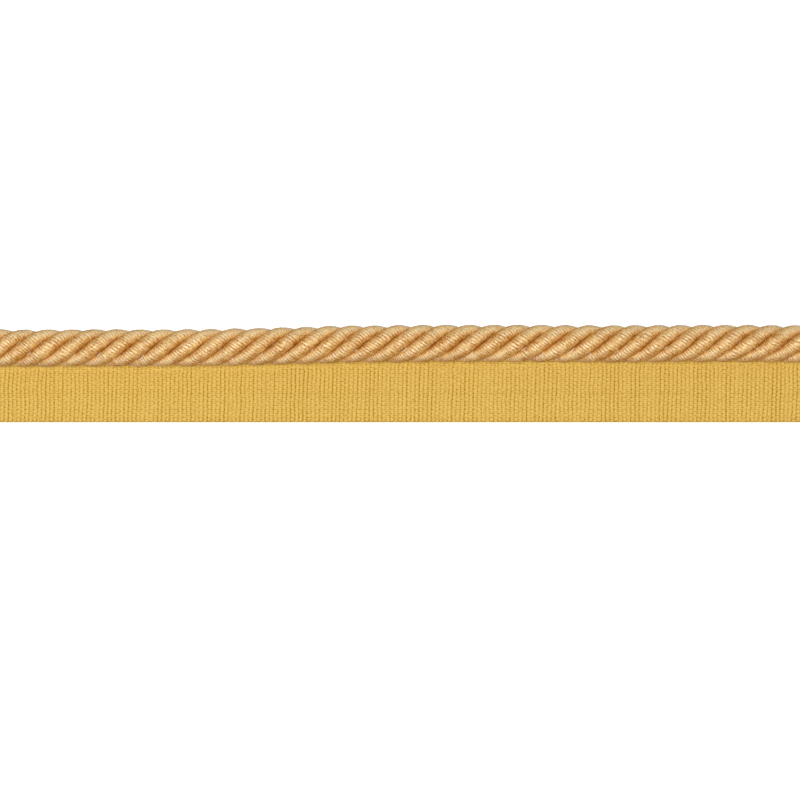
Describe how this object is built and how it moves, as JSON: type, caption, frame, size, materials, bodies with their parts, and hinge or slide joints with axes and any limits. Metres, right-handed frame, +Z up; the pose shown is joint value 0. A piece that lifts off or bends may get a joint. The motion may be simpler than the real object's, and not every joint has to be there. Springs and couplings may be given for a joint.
{
  "type": "flanged cord trimming",
  "caption": "Straight cut length of twisted silky cord sewn along a ribbed woven tape, whose free edge is a flat lip for sewing into a seam.",
  "frame": {"origin": "middle of the box in X and Y, on the tape's flat underside", "axes": "+X along the trimming, +Y from the tape's free edge towards the cord, +Z up out of the trimming's face"},
  "size_m": [0.15, 0.0172, 0.0077],
  "materials": {
    "cord_yarn": "silky wrapped yarn, old gold",
    "tape_yarn": "matt ribbed weave, yellow gold"
  },
  "bodies": {
    "root": {"cord": "cord_yarn", "tape": "tape_yarn"}
  },
  "joints": []
}
